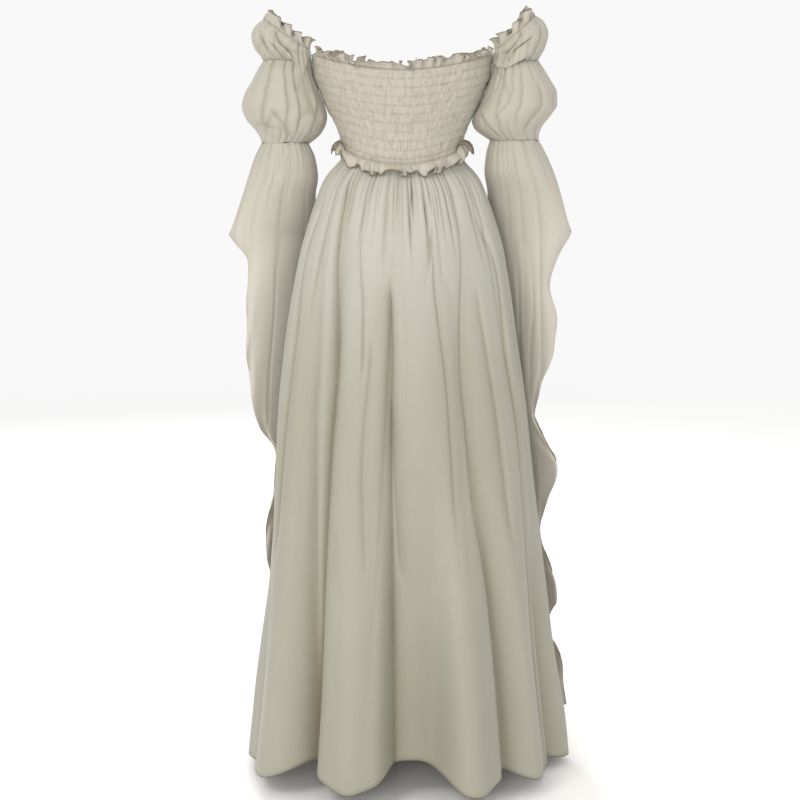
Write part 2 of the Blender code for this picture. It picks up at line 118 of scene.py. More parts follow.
# Skirt rings: drop below the waist seam, half width, half depth, centre y.
SKIRT = (
    (0.0, 0.103, 0.084, 0.0), (0.006, 0.1045, 0.085, 0.0), (0.018, 0.113, 0.0915, 0.0),
    (0.032, 0.126, 0.101, 0.0), (0.05, 0.138, 0.111, 0.001), (0.082, 0.15, 0.124, 0.004),
    (0.126, 0.1645, 0.138, 0.007), (0.171, 0.177, 0.15, 0.009), (0.242, 0.19, 0.164, 0.012),
    (0.332, 0.205, 0.179, 0.016), (0.44, 0.2225, 0.196, 0.02), (0.551, 0.2345, 0.207, 0.022),
    (0.718, 0.252, 0.222, 0.025), (0.908, 0.27, 0.237, 0.028), (1.1, 0.29, 0.25, 0.03),
)
# Skirt folds: azimuth at the waist and at the hem, half width (degrees), rise at the hem, the
# drop where it begins and the drop where it is full. A negative rise is a valley.
FOLDS = (
    (12, 20, 7, -0.005, 0.2, 0.9), (28, 38, 13, 0.01, 0.1, 0.9), (358, 360, 18, -0.01, 0.3, 1.0),
    (0, 0, 20, -0.014, 0.25, 0.55), (0, 0, 20, 0.014, 0.62, 1.0), (40, 52, 5, -0.022, 0.02, 0.6),
    (58, 72, 7, 0.011, 0.1, 0.8), (104, 114, 7, 0.013, 0.1, 0.8), (114, 132, 4, -0.016, 0.05, 0.95),
    (130, 140, 7, 0.01, 0.1, 0.9), (146, 165, 4, -0.012, 0.05, 0.9), (180, 180, 12, 0.006, 0.85, 1.05),
    (168, 168, 8, -0.008, 0.2, 0.9), (212, 214, 9, -0.01, 0.15, 0.95), (236, 234, 8, 0.01, 0.1, 0.95),
    (254, 251, 7, -0.016, 0.1, 0.95), (270, 270, 8, 0.012, 0.1, 0.95),
    (286, 289, 7, -0.016, 0.1, 0.95), (304, 306, 8, 0.01, 0.1, 0.95), (328, 326, 9, -0.01, 0.15, 0.95),
)

# Ruffles of the body: height of the strip and waves on each half.
NECK_RUFFLE = (0.019, 15)
NECK_RUFFLE_SPAN = (19, 161)  # degrees of each half; the sleeves take up the rest
WAIST_RUFFLE = (0.024, 16)
WAIST_RUFFLE_START = 0.004  # above the waist seam

# Sleeve rings, both sleeves: share of the tier's length, inner x, outer x, half depth.
BAND_1_Z = 0.0205
CAP = {
    "left": ((0.0, 0.157, 0.2423, 0.043), (0.3, 0.156, 0.2555, 0.052), (0.6, 0.156, 0.261, 0.055),
             (0.85, 0.157, 0.256, 0.051), (1.0, 0.158, 0.248, 0.045)),
    "right": ((0.0, 0.157, 0.238, 0.043), (0.3, 0.156, 0.248, 0.052), (0.6, 0.156, 0.2535, 0.055),
              (0.85, 0.157, 0.252, 0.051), (1.0, 0.158, 0.244, 0.045)),
}
RIM_LOW = 0.036  # the cap's top edge beside the bodice
RIM_HIGH = {"left": 0.091, "right": 0.098}  # and at its outer side
CAP_RUFFLE = (0.02, 8)  # height of the strip and waves
CAP_RUFFLE_SPAN = 164  # degrees either way from the outer side
PUFF = {
    "left": ((0.0, 0.157, 0.2423, 0.043), (0.1, 0.156, 0.251, 0.056), (0.25, 0.15, 0.262, 0.065),
             (0.4, 0.143, 0.274, 0.07), (0.55, 0.135, 0.279, 0.072), (0.7, 0.131, 0.2725, 0.07),
             (0.85, 0.14, 0.256, 0.06), (0.94, 0.153, 0.249, 0.049), (1.0, 0.165, 0.247, 0.041)),
    "right": ((0.0, 0.157, 0.238, 0.043), (0.1, 0.156, 0.247, 0.056), (0.25, 0.15, 0.259, 0.065),
              (0.4, 0.143, 0.269, 0.07), (0.55, 0.134, 0.27, 0.072), (0.7, 0.1225, 0.2575, 0.07),
              (0.85, 0.1285, 0.243, 0.06), (0.94, 0.143, 0.24, 0.049), (1.0, 0.156, 0.2395, 0.041)),
}
BAND_2_Z = {"left": -0.1207, "right": -0.116}

# Trumpet slices: height, inner x, inner y, outer x, outer y, half thickness, half angle still closed.
TRUMPET = {
    "left": (
        (-0.1207, 0.165, 0.0, 0.247, 0.0, 0.041, 180), (-0.145, 0.154, -0.002, 0.259, 0.0, 0.045, 180),
        (-0.18, 0.15, -0.012, 0.2715, -0.003, 0.047, 180),
        (-0.215, 0.156, -0.036, 0.284, -0.01, 0.048, 180),
        (-0.25, 0.156, -0.062, 0.296, -0.016, 0.048, 180),
        (-0.282, 0.158, -0.082, 0.303, -0.02, 0.047, 180),
        (-0.33, 0.164, -0.094, 0.2745, -0.028, 0.045, 165),
        (-0.4, 0.17, -0.106, 0.2785, -0.036, 0.042, 150),
        (-0.49, 0.18, -0.118, 0.28, -0.046, 0.04, 140),
        (-0.5785, 0.19, -0.128, 0.2725, -0.058, 0.037, 130),
        (-0.6334, 0.196, -0.133, 0.259, -0.068, 0.035, 125),
        (-0.69, 0.201, -0.138, 0.233, -0.084, 0.032, 120),
        (-0.77, 0.208, -0.142, 0.241, -0.09, 0.029, 118),
        (-0.85, 0.214, -0.148, 0.2562, -0.094, 0.026, 115),
        (-0.91, 0.218, -0.152, 0.25, -0.104, 0.023, 110),
        (-0.97, 0.224, -0.156, 0.244, -0.116, 0.019, 105),
        (-1.04, 0.232, -0.158, 0.244, -0.13, 0.012, 100),
        (-1.08, 0.236, -0.158, 0.242, -0.146, 0.005, 95),
    ),
    "right": (
        (-0.116, 0.156, 0.0, 0.2395, 0.0, 0.041, 180), (-0.14, 0.149, -0.002, 0.253, 0.0, 0.045, 180),
        (-0.17, 0.147, -0.008, 0.267, -0.003, 0.047, 180),
        (-0.205, 0.154, -0.034, 0.28, -0.01, 0.048, 180),
        (-0.24, 0.156, -0.058, 0.29, -0.016, 0.048, 180),
        (-0.277, 0.158, -0.08, 0.296, -0.02, 0.047, 180),
        (-0.33, 0.164, -0.092, 0.2743, -0.026, 0.045, 165),
        (-0.371, 0.168, -0.1, 0.2645, -0.034, 0.043, 155),
        (-0.434, 0.174, -0.11, 0.2776, -0.036, 0.042, 148),
        (-0.488, 0.18, -0.116, 0.275, -0.044, 0.04, 140),
        (-0.56, 0.188, -0.124, 0.251, -0.06, 0.037, 132),
        (-0.611, 0.192, -0.128, 0.243, -0.068, 0.035, 128),
        (-0.661, 0.198, -0.13, 0.263, -0.06, 0.033, 124),
        (-0.707, 0.204, -0.132, 0.2853, -0.052, 0.032, 120),
        (-0.77, 0.212, -0.132, 0.268, -0.07, 0.03, 118),
        (-0.834, 0.22, -0.13, 0.2585, -0.084, 0.028, 115),
        (-0.95, 0.24, -0.118, 0.288, -0.062, 0.025, 110),
        (-1.021, 0.252, -0.11, 0.274, -0.08, 0.021, 105),
        (-1.084, 0.264, -0.104, 0.3, -0.066, 0.017, 100),
        (-1.15, 0.278, -0.094, 0.308, -0.068, 0.011, 95),
        (-1.19, 0.29, -0.084, 0.311, -0.072, 0.005, 95),
    ),
}
CORNER_Z = {"left": -0.282, "right": -0.277}  # where the slanted hem begins

# The flat recess in the back's hem: azimuth at the waist and at the hem, half width (degrees), depth,
# the drop where it begins and where it is full.
RECESS = (92, 95.5, 12.0, 0.04, 0.5, 0.98)
# How the hem lifts round the skirt: azimuth and metres.
HEM_RISES = (
    (0, 0.004), (20, 0.014), (36, 0.02), (50, 0.03), (57, 0.018), (71, 0.014), (82, 0.018), (96, 0.026),
    (105, 0.016), (116, 0.014), (128, 0.018), (140, 0.02), (156, 0.01), (170, 0.006), (210, 0.016),
    (240, 0.006), (270, 0.011), (300, 0.005), (330, 0.016), (360, 0.01),
)
# Main creases of the skirt: depth, half width (degrees), and their course as (drop, azimuth). A
# negative half width puts the gentle side towards smaller azimuths.
SKIRT_CREASES = (
    (0.013, 7.5, ((0.04, 42.8), (0.2, 49.2), (0.265, 51.5), (0.39, 54.5), (0.51, 54.5), (1.15, 52.0))),
    (0.0115, -7.5, ((0.2, 83.5), (0.26, 84.5), (0.32, 85.0), (0.5, 85.0), (0.72, 86.0), (1.15, 86.5))),
    (0.005, 6.0, ((0.4, 85.2), (0.58, 87.5), (0.66, 89.2), (0.7, 93.0))),
    (0.0038, 4.0, ((0.045, 104.5), (0.14, 107.4), (0.2, 107.2), (0.26, 108.4), (0.36, 110.8), (0.6, 111.4))),
    (0.0045, -3.0, ((0.1, 109.5), (0.15, 106.0), (0.19, 102.0))),
    (0.0045, 6.0, ((0.096, 127.2), (0.34, 120.8), (0.56, 122.0), (0.74, 128.0), (1.15, 129.0))),
    (0.005, -6.0, ((0.1, 144.8), (0.21, 155.8), (0.34, 151.5), (0.52, 153.8), (1.15, 157.5))),
    (0.006, 7.0, ((0.08, 23.0), (0.18, 19.5), (0.3, 25.0), (0.44, 27.0), (0.7, 24.0))),
    (0.0035, 1.5, ((0.03, 97.5), (0.088, 95.0), (0.155, 95.5))),
    (0.0035, 1.6, ((0.02, 66.0), (0.09, 64.0), (0.24, 69.0), (0.36, 70.0))),
    (0.0035, 6.0, ((0.3, 74.0), (0.48, 72.0), (0.68, 75.0))),
    (0.004, -5.0, ((0.22, 134.0), (0.4, 138.0), (0.66, 140.0))),
    (0.0085, 7.0, ((0.04, 221.0), (0.25, 226.0), (0.55, 224.0), (1.15, 223.0))),
    (0.007, -6.0, ((0.06, 262.0), (0.22, 257.0), (0.6, 259.0), (1.15, 260.0))),
    (0.006, 5.0, ((0.05, 281.0), (0.15, 284.0), (0.34, 279.0), (0.62, 281.0))),
    (0.0085, -7.0, ((0.05, 312.0), (0.28, 318.0), (0.6, 316.0), (1.15, 317.0))),
    (0.006, 6.0, ((0.09, 341.0), (0.3, 338.0), (0.5, 341.0))),
)
# The pouch of each cap that hangs over its elastic: turn, half width (degrees), drop, reach outwards.
CAP_POUCH = {"left": (126, 15, 0.034, 0.01), "right": (118, 40, 0.022, 0.009)}
# How far the outer tip of each cap's rim leans in over the arm, in metres.
CAP_TIP = {"left": 0.006, "right": 0.013}
# Main creases of each puff: depth, half width (degrees), and their course as (share down, turn).
PUFF_CREASES = {
    "left": (
        (0.006, 9, ((0.0, 58), (0.1, 60.5), (0.43, 65.0), (0.8, 47.0), (0.9, 44.0))),
        (0.0055, 8, ((0.0, 88), (0.11, 91.5), (0.35, 98.8), (0.52, 100.0), (0.84, 88.2), (1.0, 112.0))),
        (0.005, 7, ((0.05, 111), (0.14, 112.5), (0.51, 117.3), (0.88, 106.2))),
        (0.006, 8, ((0.62, 73.0), (0.75, 82.0), (1.0, 94.0))),
        (0.005, 8, ((0.64, 76.0), (0.78, 56.0), (0.93, 36.0))),
        (0.005, 9, ((0.0, 146), (0.4, 152.0), (0.8, 136.0), (1.0, 128.0))),
    ),
    "right": (
        (0.0045, 7, ((0.0, 118), (0.08, 122.2), (0.44, 125.0), (0.75, 112.0), (0.88, 100.0))),
        (0.0045, 7, ((0.0, 86), (0.1, 88.5), (0.39, 89.5), (0.7, 84.0), (0.88, 76.0))),
        (0.0065, 9, ((0.1, 148), (0.42, 147.0), (0.6, 150.0), (0.8, 131.0), (1.0, 112.0))),
        (0.0045, 8, ((0.3, 61.0), (0.62, 52.0), (0.95, 66.0))),
        (0.004, 6, ((0.0, 103), (0.25, 107.0), (0.46, 104.0))),
    ),
}
# Main creases of each cap: depth, half width (degrees), and their course as (share up, turn).
CAP_CREASES = {
    "left": (
        (0.007, 9, ((0.0, 62), (0.22, 55.0), (0.62, 38.0))),
        (0.0065, 8, ((0.0, 84), (0.3, 78.0), (0.55, 66.0))),
        (0.008, 9, ((0.0, 128), (0.3, 112.0), (0.62, 88.0), (1.0, 68.0))),
    ),
    "right": (
        (0.008, 10, ((0.0, 140), (0.24, 118.0), (0.46, 92.0), (0.66, 64.0))),
        (0.005, 8, ((0.2, 52), (0.46, 44.0), (0.8, 40.0))),
        (0.0055, 8, ((0.3, 128), (0.62, 104.0), (1.0, 84.0))),
    ),
}


def metres(name, description, default):
    """A property that holds a length."""
    return FloatProperty(name=name, description=description, default=default, subtype="DISTANCE",
                         unit="LENGTH")


def tint(name, description, default):
    """A property that holds an sRGB hex colour."""
    return StringProperty(name=name, description=description, default=default)


class GownSizes(bpy.types.PropertyGroup):
    """Sizes that a user would change; the rings and folds are in the tables above."""

    cloth: metres("Cloth", "Thickness drawn for the cloth", 0.0008)
    pucker: metres("Pucker", "Height of the fine puckers between elastic threads", 0.0008)
    shirr: metres("Shirring", "Swell of the cloth between two elastic threads", 0.0016)
    crease: metres("Skirt fold", "Depth of the skirt's loose folds", 0.0048)
    sleeve_fold: metres("Sleeve fold", "Depth of the sleeves' loose folds", 0.0036)
    rolled_hem: metres("Rolled hem", "Width of the overlocked edge on hems and ruffles", 0.0022)
    fine_gathers: IntProperty(name="Fine gathers", description="Fine gathers round each arm elastic",
                              default=27, min=9, max=60)


class GownColours(bpy.types.PropertyGroup):
    """sRGB hex colours of the gown and its studio."""

    cotton: tint("Cotton", "Bodice and ruffles", "#AAA498")
    sleeve: tint("Sleeve", "Caps, puffs and the top of the trumpets", "#A7A296")
    # Painted light: a paler tone for the trumpets, against the shade the skirt casts on them.
    lit_low_sleeve: tint("Low sleeve", "Trumpets below the elbow", "#B7B2A6")
    skirt: tint("Skirt", "Top of the skirt", "#A8A69C")
    # Painted shade: a darker tone down the skirt, where the light falls off towards the hem.
    shaded_low_skirt: tint("Low skirt", "Skirt below the knee", "#969486")
    # Painted shade: mixed in by the crease attribute where folds, creases and valleys deepen.
    fold: tint("Fold", "The cloth deep in a fold", "#7D765D")
    # The overlocked thread; along free edges its dark line is partly painted shade.
    thread: tint("Thread", "Overlocked edges and stitching", "#655D46")
    floor: tint("Floor", "Studio floor", "#F4F3F1")
    walls: tint("Walls", "Studio walls", "#FEFEFE")


def linear(hex_colour):
    """An sRGB hex colour as linear RGBA."""
    s = np.array([int(hex_colour[i:i + 2], 16) for i in (1, 3, 5)]) / 255
    return (*np.where(s <= 0.04045, s / 12.92, ((s + 0.055) / 1.055) ** 2.4), 1.0)


def node(tree, kind, values=(), links=(), **settings):
    """Adds one node: its settings, its sockets' values, and links into its sockets."""
    made = tree.nodes.new("ShaderNode" + kind)
    for key, value in settings.items():
        setattr(made, key, value)
    for socket, value in dict(values).items():
        made.inputs[socket].default_value = value
    for socket, source in dict(links).items():
        tree.links.new(source, made.inputs[socket])
    return made


def ranged(tree, source, start, end, low=0.0, high=1.0, **settings):
    """Adds a node that turns start..end at the source into low..high, and no further."""
    return node(tree, "MapRange", {"From Min": start, "From Max": end, "To Min": low, "To Max": high},
                {"Value": source}, **settings)


def along(rows, column, at):
    """A table's column at the given places of its first column, as a smooth curve through the rows."""
    rows = np.asarray(rows, float)
    if rows[0, 0] > rows[-1, 0]:
        rows = rows[::-1]
    x, y = rows[:, 0], rows[:, column]
    step, rise = np.diff(x), np.diff(y)
    slope = rise / step
    tangent = np.empty_like(y)
    tangent[0], tangent[-1] = slope[0], slope[-1]
    same_way = slope[1:] * slope[:-1] > 0
    mean = 2 * slope[1:] * slope[:-1] / np.where(same_way, slope[1:] + slope[:-1], 1.0)
    tangent[1:-1] = np.where(same_way, mean, 0.0)
    at = np.clip(at, x[0], x[-1])
    i = np.clip(np.searchsorted(x, at, side="right") - 1, 0, len(x) - 2)
    u = (at - x[i]) / step[i]
    return ((2 * u**3 - 3 * u**2 + 1) * y[i] + (u**3 - 2 * u**2 + u) * step[i] * tangent[i]
            + (3 * u**2 - 2 * u**3) * y[i + 1] + (u**3 - u**2) * step[i] * tangent[i + 1])


def eased(x, start, end):
    """0 before start, 1 after end, and a smooth step between."""
    u = np.clip((x - start) / (end - start), 0, 1)
    return u * u * (3 - 2 * u)


def soft_noise(x, y, seed, wrap=64):
    """Smooth random heights, -1..1: random values on whole x and y, eased between; x repeats at wrap."""
    values = np.random.default_rng(seed).uniform(-1, 1, (wrap, 64))
    i, j = np.floor(x).astype(int), np.floor(y).astype(int)
    u, v = x - i, y - j
    u, v = u * u * (3 - 2 * u), v * v * (3 - 2 * v)
    low = values[i % wrap, j % 64] * (1 - u) + values[(i + 1) % wrap, j % 64] * u
    high = values[i % wrap, (j + 1) % 64] * (1 - u) + values[(i + 1) % wrap, (j + 1) % 64] * u
    return low * (1 - v) + high * v


def gown_sizes():
    """The sizes of the panel."""
    return bpy.context.scene.gown_sizes


def seed_of(form, place):
    """The form's first seed: the second one for the front half or the right side."""
    return SEEDS[form][int(place == "right" if isinstance(place, str) else place)]


def swings(across, count, seed):
    """A soft noise along a strip with that many swings over its length."""
    return soft_noise(across * count, 0 * across, seed)


def top_z(azimuth):
    """Height of the bodice's top edge: it rises towards the sides as the squared cosine."""
    return TOP_Z + TOP_SIDE_RISE * np.cos(azimuth) ** 2


def waist_z(azimuth):
    """Height of the waist seam, by the same rule."""
    return WAIST_Z + WAIST_SIDE_RISE * np.cos(azimuth) ** 2


def hem_z(azimuth):
    """Height of the skirt's hem, by the same rule: it drops a little at the sides."""
    return HEM_Z + HEM_SIDE_RISE * np.cos(azimuth) ** 2


def side_seam(azimuth, radius):
    """How close a point is to a side seam: 1 on it, and a narrow bell across it."""
    return np.exp(-((radius * np.sin(azimuth) / SEAM_LINE) ** 2))


def outwards(azimuth):
    """The level unit vector away from the middle at that azimuth."""
    return np.stack([np.cos(azimuth), np.sin(azimuth), 0 * azimuth], -1)


def bodice_ring(azimuth, z):
    """An ellipse at height z, with the half width and half depth of the bodice table."""
    return np.stack([along(BODICE, 1, z) * np.cos(azimuth), along(BODICE, 2, z) * np.sin(azimuth), z], -1)


def loose_folds(place, down, seed, count, width, reach, shortest=0.15):
    """Folds that leave a seam and run down the cloth. Place goes 0..1 once round, down is metres from
    the seam. Each fold has its own place, lean, width and length, and falls steeply on one side and
    gently on the other: an exponential of the distance from its line. Returns the summed depth and
    how close each point is to a line."""
    draw = np.random.default_rng(seed)
    depth, line = np.zeros_like(place), np.zeros_like(place)
    for k in range(count):
        at = (k + draw.uniform(-0.42, 0.42)) / count
        lean = draw.normal(0, 0.30) / count
        own = width * draw.uniform(0.5, 1.4)
        length = reach * (shortest + (1 - shortest) * draw.random() ** 1.8)
        weight, steep = draw.uniform(0.35, 1.0), own * draw.uniform(0.3, 0.7)
        left, right = (steep, own) if draw.random() < 0.5 else (own, steep)
        off = (place - at - lean * down / reach + 0.5) % 1 - 0.5
        fade = weight * (1 - eased(down, 0.35 * length, length))
        depth += fade * np.exp(-np.abs(off) / np.where(off > 0, right, left))
        line = np.maximum(line, fade * np.exp(-np.abs(off) / np.where(off > 0, 0.32 * right, 0.32 * left)))
    return depth, line


def crumple(x, y, seed, wrap=64):
    """Cloth that has buckled into facets: the size of a soft noise, whose zero lines are sharp valleys.
    Returns 0 in a valley to 1 on a facet, and how close each point is to a valley."""
    bent = soft_noise(x + 0.4 * soft_noise(x * 2, y * 2.3, seed + 1, 2 * wrap), y, seed, wrap)
    return np.minimum(1.8 * np.abs(bent), 1.0), np.exp(-((bent / 0.06) ** 2))


def placed_creases(table, place, down, fade, sharp):
    """The table's creases one by one: each follows its course down the cloth, falls steeply on one
    side and gently on the other, as an exponential of the distance, and fades out over its ends. The
    returned line paints shade over the gentle side, as if the steep side shaded it, and a sharp crease
    has a narrow bell for its line."""
    depth, line = np.zeros_like(place), np.zeros_like(place)
    for deep, wide, course in table:
        off = ((place - along(course, 1, down) + 180) % 360 - 180) * np.sign(wide)
        grown = eased(down, course[0][0] - fade, course[0][0] + fade)
        grown = grown * (1 - eased(down, course[-1][0] - 2 * fade, course[-1][0] + fade))
        depth += deep * grown * np.exp(-np.abs(off / wide) / np.where(off > 0, 1.0, 0.22))
        shaded = 0.45 * np.exp(-np.abs(off / wide) / np.where(off > 0, 0.60, 0.08))
        core = np.exp(-((off / min(0.6, 0.2 * abs(wide))) ** 2)) if sharp else shaded * 2.2
        line = np.maximum(line, min(1.0, deep / 0.008) * grown * np.maximum(shaded, core))
    return depth, line


def bodice_back_at(azimuth, share):
    """The bodice ring at that share of the height, plus the shirring: cloth swells as the sine's root
    between two elastic threads, with a faint dip half way, and carries puckers, noise stretched up
    and down that wanders from row to row."""
    sizes = gown_sizes()
    z = waist_z(azimuth) + (top_z(azimuth) - waist_z(azimuth)) * share
    round_body = azimuth / pi
    row = share * ELASTIC_ROWS + 0.07 * soft_noise(round_body * 34, share * 14, 4) * np.sin(pi * share)
    swell = np.sqrt(np.abs(np.sin(pi * row)) + 1e-4)
    dip = np.exp(-(((row % 1 - 0.5) / 0.09) ** 2))
    drift = 0.6 * soft_noise(round_body * 40, share * 12, 3)
    tucks = soft_noise(round_body * 165 + drift, row * 1.7, 11, 256)
    small = soft_noise(round_body * 235 + drift, row * 3.1 + 0.3, 12, 512)
    broad = soft_noise(round_body * 34, share * 12, 13)
    height = (sizes.shirr * swell * (0.9 + 0.3 * broad)
              + sizes.pucker * (0.75 * tucks + 0.55 * small) - 0.0004 * dip)
    # Painted shade: the crease mask is darker in the grooves between the rows and in the puckers' hollows.
    crease = 0.11 + 0.38 * (1 - swell) + 0.12 * dip - 0.24 * tucks - 0.18 * small
    return bodice_ring(azimuth, z) + outwards(azimuth) * height[..., None], crease


def bodice_front_at(azimuth, share):
    """The bodice ring at that share of the height, with a little looseness."""
    z = waist_z(azimuth) + (top_z(azimuth) - waist_z(azimuth)) * share
    loose = soft_noise(azimuth * 5, share * 3, 21)
    height = 0.0012 * loose * np.sin(pi * share)
    # Painted shade: the crease mask is darker where the loose cloth sinks.
    return bodice_ring(azimuth, z) + outwards(azimuth) * height[..., None], 0.25 - 0.4 * loose


def fold_rise(azimuth, drop):
    """The flat recess, a bell with a level floor, and the sum of the fold table's rows, each deeper as
    it falls: a soft bell across its azimuth for a crest, and for a valley one with a sharper foot.
    Also returns how close a point is to a valley or lies in the recess, where painted shade darkens the
    cloth."""
    degrees = np.degrees(azimuth) % 360
    total, line = np.zeros_like(degrees), np.zeros_like(degrees)
    top, hem, width, depth, begins, full = RECESS
    off = np.abs((degrees - top - (hem - top) * eased(drop, 0.0, 1.0) + 180) % 360 - 180) / width
    recess = eased(drop, begins, full) * np.exp(-off**6)
    total -= depth * (1 + 0.4 * eased(drop, 0.7, 1.1)) * recess
    # Painted shade in the recess.
    line += 0.85 * recess
    for top, hem, width, rise, begins, full in FOLDS:
        middle = top + (hem - top) * eased(drop, 0.0, 1.0)
        off = np.abs((degrees - middle + 180) % 360 - 180) / width
        grown = eased(drop, begins, full) * (1 + HEM_DEPTH * eased(drop, 0.45, 1.05))
        total += rise * grown * np.exp(-off ** (2.0 if rise > 0 else 1.4))
        if rise < 0:
            line = np.maximum(line, grown * min(1.0, -rise / 0.030) * np.exp(-((off / 0.45) ** 2)))
    return total, line


def skirt_at(azimuth, share):
    """The skirt ring under the waist seam, moved out by the table's folds and in by the placed creases
    and three sets of loose folds: short sharp gathers, longer ones, and a few that reach far down.
    Between them the cloth buckles into long facets. The hem lifts a little where a fold goes in."""
    size = gown_sizes().crease
    z = waist_z(azimuth) - SEAM_GAP + (hem_z(azimuth) - waist_z(azimuth) + SEAM_GAP) * share
    drop = waist_z(azimuth) - SEAM_GAP - z
    turn = azimuth / (2 * pi)
    short, short_line = loose_folds(turn, drop, *SKIRT_SHORT_FOLDS)
    long, long_line = loose_folds(turn, drop, *SKIRT_LONG_FOLDS)
    far, far_line = loose_folds(turn, drop, *SKIRT_FAR_FOLDS)
    folds, valley = fold_rise(azimuth, drop)
    placed, placed_line = placed_creases(SKIRT_CREASES, np.degrees(azimuth) % 360, drop, 0.03, True)
    facets, facet_line = crumple(turn * 30, drop * 3.4, 37, 30)
    grow = 0.22 + 0.78 * eased(drop, 0.0, 0.05)
    buckled = eased(drop, 0.03, 0.16) * (1 - 0.6 * eased(drop, 0.45, 0.95))
    rise = (1.25 * size * grow * (0.30 - 1.25 * short) + 1.25 * size * eased(drop, 0.0, 0.08) * (0.15 - long)
            + 1.7 * size * eased(drop, 0.02, 0.30) * (0.1 - far) + 0.40 * size * buckled * (facets - 0.6)
            + 1.5 * size * eased(drop, 0.06, 0.3) * soft_noise(turn * 26, drop * 2.2, 35, 26)
            + folds - placed * (1.1 + 0.8 * eased(drop, 0.10, 0.35) - 0.35 * eased(drop, 0.60, 1.0)))
    z = z - HEM_LIFT * folds * eased(drop, 0.7, 1.05)
    z = z + along(HEM_RISES, 1, np.degrees(azimuth) % 360) * eased(drop, 0.7, 1.1)
    point = np.stack([(along(SKIRT, 1, drop) + rise) * np.cos(azimuth),
                      along(SKIRT, 3, drop) + (along(SKIRT, 2, drop) + rise) * np.sin(azimuth), z], -1)
    # Painted shade: the crease mask darkens and warms the cloth in the gathers, loose folds, placed creases,
    # fold valleys and the hem's recess; it also carries the darker pressed line along each side seam.
    crease = (0.03 + 1.0 * short_line + 0.75 * long_line + 0.25 * far_line + 0.6 * valley
              + 0.95 * placed_line + 0.07 * buckled * facet_line
              + 0.10 * soft_noise(turn * 30, drop * 3, 36, 30)
              + 0.35 * side_seam(azimuth, along(SKIRT, 1, drop)))
    return point, crease


def ruffle_at(foot, out, along_seam, share, height, phase, lean, swing, loop, uneven):
    """A narrow strip that leaves a seam at an angle which swings with the phase, and whose free edge
    also slides to and fro along the seam at twice the phase, so that its waves close into loops."""
    swung = np.sin(phase) + (0.35 * np.sin(1.37 * phase + 1.1) + 0.30 * np.sin(2.63 * phase) * share) * share
    angle = np.radians(lean + swing * uneven * swung)
    angle = np.minimum(angle, 2.72) * (0.25 + 0.75 * share)
    slide = -loop * uneven * share**1.3 * np.sin(2 * phase)
    point = foot + out * (height * share * np.sin(angle))[..., None]
    point = point + along_seam * slide[..., None]
    point[..., 2] += height * share * np.cos(angle)
    # Painted shade: the strip is darker next to its seam, and its tone rises and falls with the swing of its
    # angle.
    crease = 0.08 - 0.34 * swung * share * np.sign(swing) + 0.40 * (1 - eased(share, 0, 0.35))
    return point, crease


def neck_ruffle_at(azimuth, share):
    """A ruffle on the bodice's top edge that leans a little out."""
    start, end = np.radians(NECK_RUFFLE_SPAN)
    front = np.mean(azimuth) > pi
    across = (azimuth - pi * front - start) / (end - start)
    seed = seed_of("neck", front)
    phase = 2 * pi * NECK_RUFFLE[1] * across + 3.2 * swings(across, 13, seed)
    uneven = 1 + 0.55 * swings(across, 19, seed + 1)
    tall = 0.84 * NECK_RUFFLE[0] * (1 + 0.28 * swings(across, 27, seed + 2))
    foot = bodice_ring(azimuth, top_z(azimuth)) + (0, 0, SEAM_GAP)
    foot = foot + outwards(azimuth) * (0.0014 * np.sin(phase))[..., None]
    lean = 22 + 22 * swings(across, 13, seed + 3)
    return ruffle_at(foot, outwards(azimuth), outwards(azimuth + pi / 2), share, tall, phase, lean, 36,
                     0.0044, uneven)


def waist_ruffle_at(azimuth, share):
    """A ruffle that leaves the bodice just over the waist seam, lies out over the skirt at the back and
    the front, and stands out at the sides."""
    front = np.mean(azimuth) > pi
    across = azimuth / pi - front
    seed = seed_of("waist", front)
    ends = eased(across, 0, 0.06) * (1 - eased(across, 0.94, 1))
    phase = 2 * pi * WAIST_RUFFLE[1] * across + 3.6 * ends * swings(across, 12, seed)
    uneven = 1 + 0.55 * ends * swings(across, 17, seed + 1)
    tall = WAIST_RUFFLE[0] * (0.80 + 0.26 * ends * swings(across, 23, seed + 2))
    foot = bodice_ring(azimuth, waist_z(azimuth)) + (0, 0, WAIST_RUFFLE_START)
    foot = foot + outwards(azimuth) * (WALL + SEAM_GAP + 0.0012)
    beside = eased(np.abs(np.cos(azimuth)), 0.74, 0.98)
    return ruffle_at(foot, outwards(azimuth), outwards(azimuth + pi / 2), share, tall, phase,
                     146 - 96 * beside, -17 - 26 * beside, 0.0038, uneven)


def beside_bodice(x, y, z):
    """x moved out, where needed, so that the sleeve's inner side lies along the bodice's side seam."""
    deep, wide = along(BODICE, 2, z), along(BODICE, 1, z)
    reach = np.sqrt(np.clip(1 - (y / deep) ** 2, 0.01, 1))
    least = wide * reach + WALL + SEAM_GAP + SHIRR_RISE + 0.0006
    least = np.where(z < -0.09, least - 0.03 * eased(-z, 0.09, 0.12), least)
    return (x + least + np.sqrt((x - least) ** 2 + 0.0008**2)) / 2


def arm_ring(rows, turn, share, swell):
    """A ring round the arm from its table: turn 0 is its outer side, half a turn its inner side."""
    inner, outer, deep = (along(rows, column, share) for column in (1, 2, 3))
    return (inner + outer) / 2 + ((outer - inner) / 2 + swell) * np.cos(turn), (deep + swell) * np.sin(turn)


def elastic_wave(turn, side, band):
    """How far an arm elastic strays up and down round the arm: a soft noise."""
    seed = seed_of("elastic", side) + 10 * band
    return ELASTIC_STRAY * soft_noise(turn / (2 * pi) * 14, 0 * turn, seed, 14)


